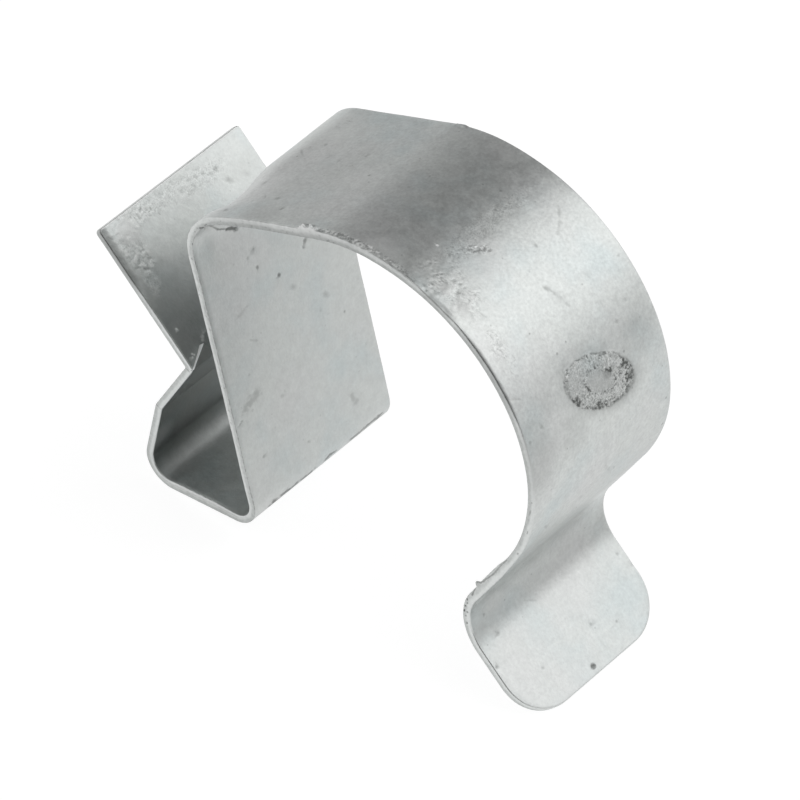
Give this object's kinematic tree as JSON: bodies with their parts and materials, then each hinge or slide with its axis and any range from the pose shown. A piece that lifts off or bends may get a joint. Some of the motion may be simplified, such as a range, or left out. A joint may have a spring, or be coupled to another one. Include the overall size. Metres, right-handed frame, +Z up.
{
  "type": "girder cable clip",
  "caption": "Folded spring-steel clip whose jaw grips the edge of a girder flange and whose open round loop holds a cable or conduit beside it.",
  "frame": {"origin": "centre of the bounding box's base, on the surface that the clip stands on", "axes": "+Z up as the clip stands on its jaw and its lip, +X from the jaw to the lip, Y along the strip's width"},
  "size_m": [0.0566, 0.02, 0.0473],
  "materials": {
    "zinc_plated_steel": "dull zinc plate, lightly speckled"
  },
  "bodies": {
    "root": {"clip_strip": "zinc_plated_steel"}
  },
  "joints": []
}
